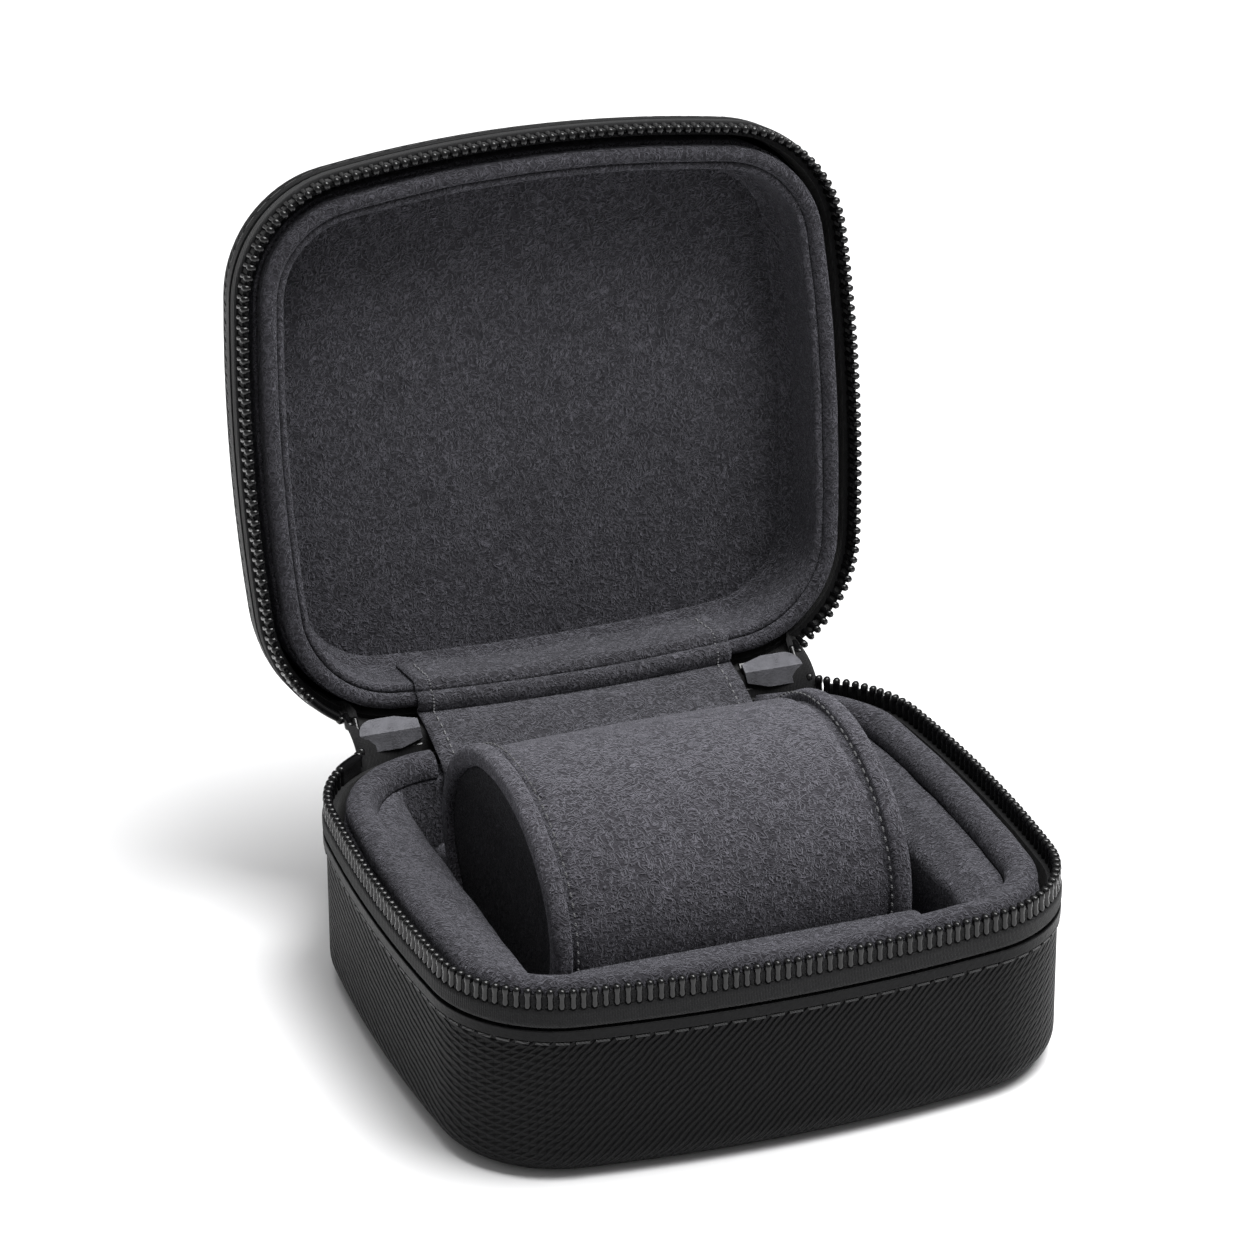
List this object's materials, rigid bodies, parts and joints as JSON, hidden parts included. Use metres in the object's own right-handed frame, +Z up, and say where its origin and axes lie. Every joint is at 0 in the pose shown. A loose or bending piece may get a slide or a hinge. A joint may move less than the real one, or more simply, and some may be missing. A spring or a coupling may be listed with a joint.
{
  "type": "watch box",
  "caption": "Oblong zip-around travel case, open, with padded suede lining, an oval watch cushion and two zip sliders at the hinge.",
  "frame": {"origin": "middle of the flat bottom panel that the case stands on", "axes": "+Z up, +X to the right along the hinge, +Y to the back where the lid hinges, front of the case at -Y"},
  "size_m": [0.114, 0.1366, 0.1344],
  "materials": {
    "case_leather": "cross-hatched grain, satin",
    "binding_leather": "smooth edge, satin",
    "thread": "dark sewing thread",
    "board": "dense board",
    "tape": "woven twill",
    "teeth": "glossy black",
    "slider_metal": "dark plated",
    "pull_metal": "dark plated",
    "end_suede": "charcoal suede",
    "foam": "soft foam",
    "cushion_suede": "charcoal suede, brushed",
    "lining_suede": "charcoal suede"
  },
  "bodies": {
    "base": {"base_binding_stitches": "thread", "base_board_tray": "board", "base_bolster_left": "lining_suede", "base_bolster_right": "lining_suede", "base_bottom_panel": "case_leather", "base_cradle_back": "lining_suede", "base_cradle_front": "lining_suede", "base_edge_binding": "binding_leather", "base_floor_pad": "lining_suede", "base_leather_side": "case_leather", "base_rim_roll": "lining_suede", "base_wall_padding": "lining_suede", "base_zip_tape": "tape", "base_zip_teeth": "teeth", "hinge_strip_inner": "lining_suede", "hinge_strip_outer": "case_leather"},
    "lid": {"lid_binding_stitches": "thread", "lid_board_tray": "board", "lid_edge_binding": "binding_leather", "lid_leather_side": "case_leather", "lid_lining_panel": "lining_suede", "lid_rim_roll": "lining_suede", "lid_top_panel": "case_leather", "lid_wall_padding": "lining_suede", "lid_zip_tape": "tape", "lid_zip_teeth": "teeth"},
    "cushion": {"cushion_band_left": "cushion_suede", "cushion_band_right": "cushion_suede", "cushion_core": "foam", "cushion_cover": "cushion_suede", "cushion_end_left": "end_suede", "cushion_end_right": "end_suede"},
    "zip_end_left": {"zip_chain_end_left": "teeth"},
    "slider_left": {"slider_left_crown": "slider_metal", "slider_left_inner_plate": "slider_metal", "slider_left_neck": "slider_metal", "slider_left_outer_plate": "slider_metal"},
    "link_left": {"link_left": "slider_metal"},
    "pull_left": {"pull_left": "pull_metal"},
    "zip_end_right": {"zip_chain_end_right": "teeth"},
    "slider_right": {"slider_right_crown": "slider_metal", "slider_right_inner_plate": "slider_metal", "slider_right_neck": "slider_metal", "slider_right_outer_plate": "slider_metal"},
    "link_right": {"link_right": "slider_metal"},
    "pull_right": {"pull_right": "pull_metal"}
  },
  "joints": [
    {"name": "lid_hinge", "type": "hinge", "parent": "base", "child": "lid", "pos_m": [0, 0.051, 0.0331], "axis": [-1, 0, 0], "range_deg": [-98.5, 0], "deforming": ["hinge_strip_inner", "hinge_strip_outer"]},
    {"name": "cushion_lift", "type": "slide", "parent": "base", "child": "cushion", "axis": [0, 0, 1], "range_m": [0, 0.06]},
    {"name": "zip_end_left_tilt", "type": "hinge", "parent": "base", "child": "zip_end_left", "pos_m": [-0.036, 0.0491, 0.0325], "axis": [-1, 0, 0], "range_deg": [-49.25, 0]},
    {"name": "slider_left_slide", "type": "slide", "parent": "zip_end_left", "child": "slider_left", "axis": [-1, 0, 0], "range_m": [0, 0.002]},
    {"name": "link_left_hang", "type": "hinge", "parent": "slider_left", "child": "link_left", "pos_m": [-0.036, 0.05324, 0.03145], "axis": [-1, 0, 0], "range_deg": [0, 49.25]},
    {"name": "pull_left_swing", "type": "hinge", "parent": "link_left", "child": "pull_left", "pos_m": [-0.036, 0.05324, 0.02687], "axis": [0, 1, 0], "range_deg": [-45, 45]},
    {"name": "zip_end_right_tilt", "type": "hinge", "parent": "base", "child": "zip_end_right", "pos_m": [0.036, 0.0491, 0.0325], "axis": [-1, 0, 0], "range_deg": [-49.25, 0]},
    {"name": "slider_right_slide", "type": "slide", "parent": "zip_end_right", "child": "slider_right", "axis": [1, 0, 0], "range_m": [0, 0.002]},
    {"name": "link_right_hang", "type": "hinge", "parent": "slider_right", "child": "link_right", "pos_m": [0.036, 0.05324, 0.03145], "axis": [-1, 0, 0], "range_deg": [0, 49.25]},
    {"name": "pull_right_swing", "type": "hinge", "parent": "link_right", "child": "pull_right", "pos_m": [0.036, 0.05324, 0.02687], "axis": [0, 1, 0], "range_deg": [-45, 45]}
  ],
  "couplings": [
    {"joint": "zip_end_left_tilt", "follows": "lid_hinge", "ratio": 0.5},
    {"joint": "link_left_hang", "follows": "lid_hinge", "ratio": -0.5},
    {"joint": "zip_end_right_tilt", "follows": "lid_hinge", "ratio": 0.5},
    {"joint": "link_right_hang", "follows": "lid_hinge", "ratio": -0.5}
  ]
}
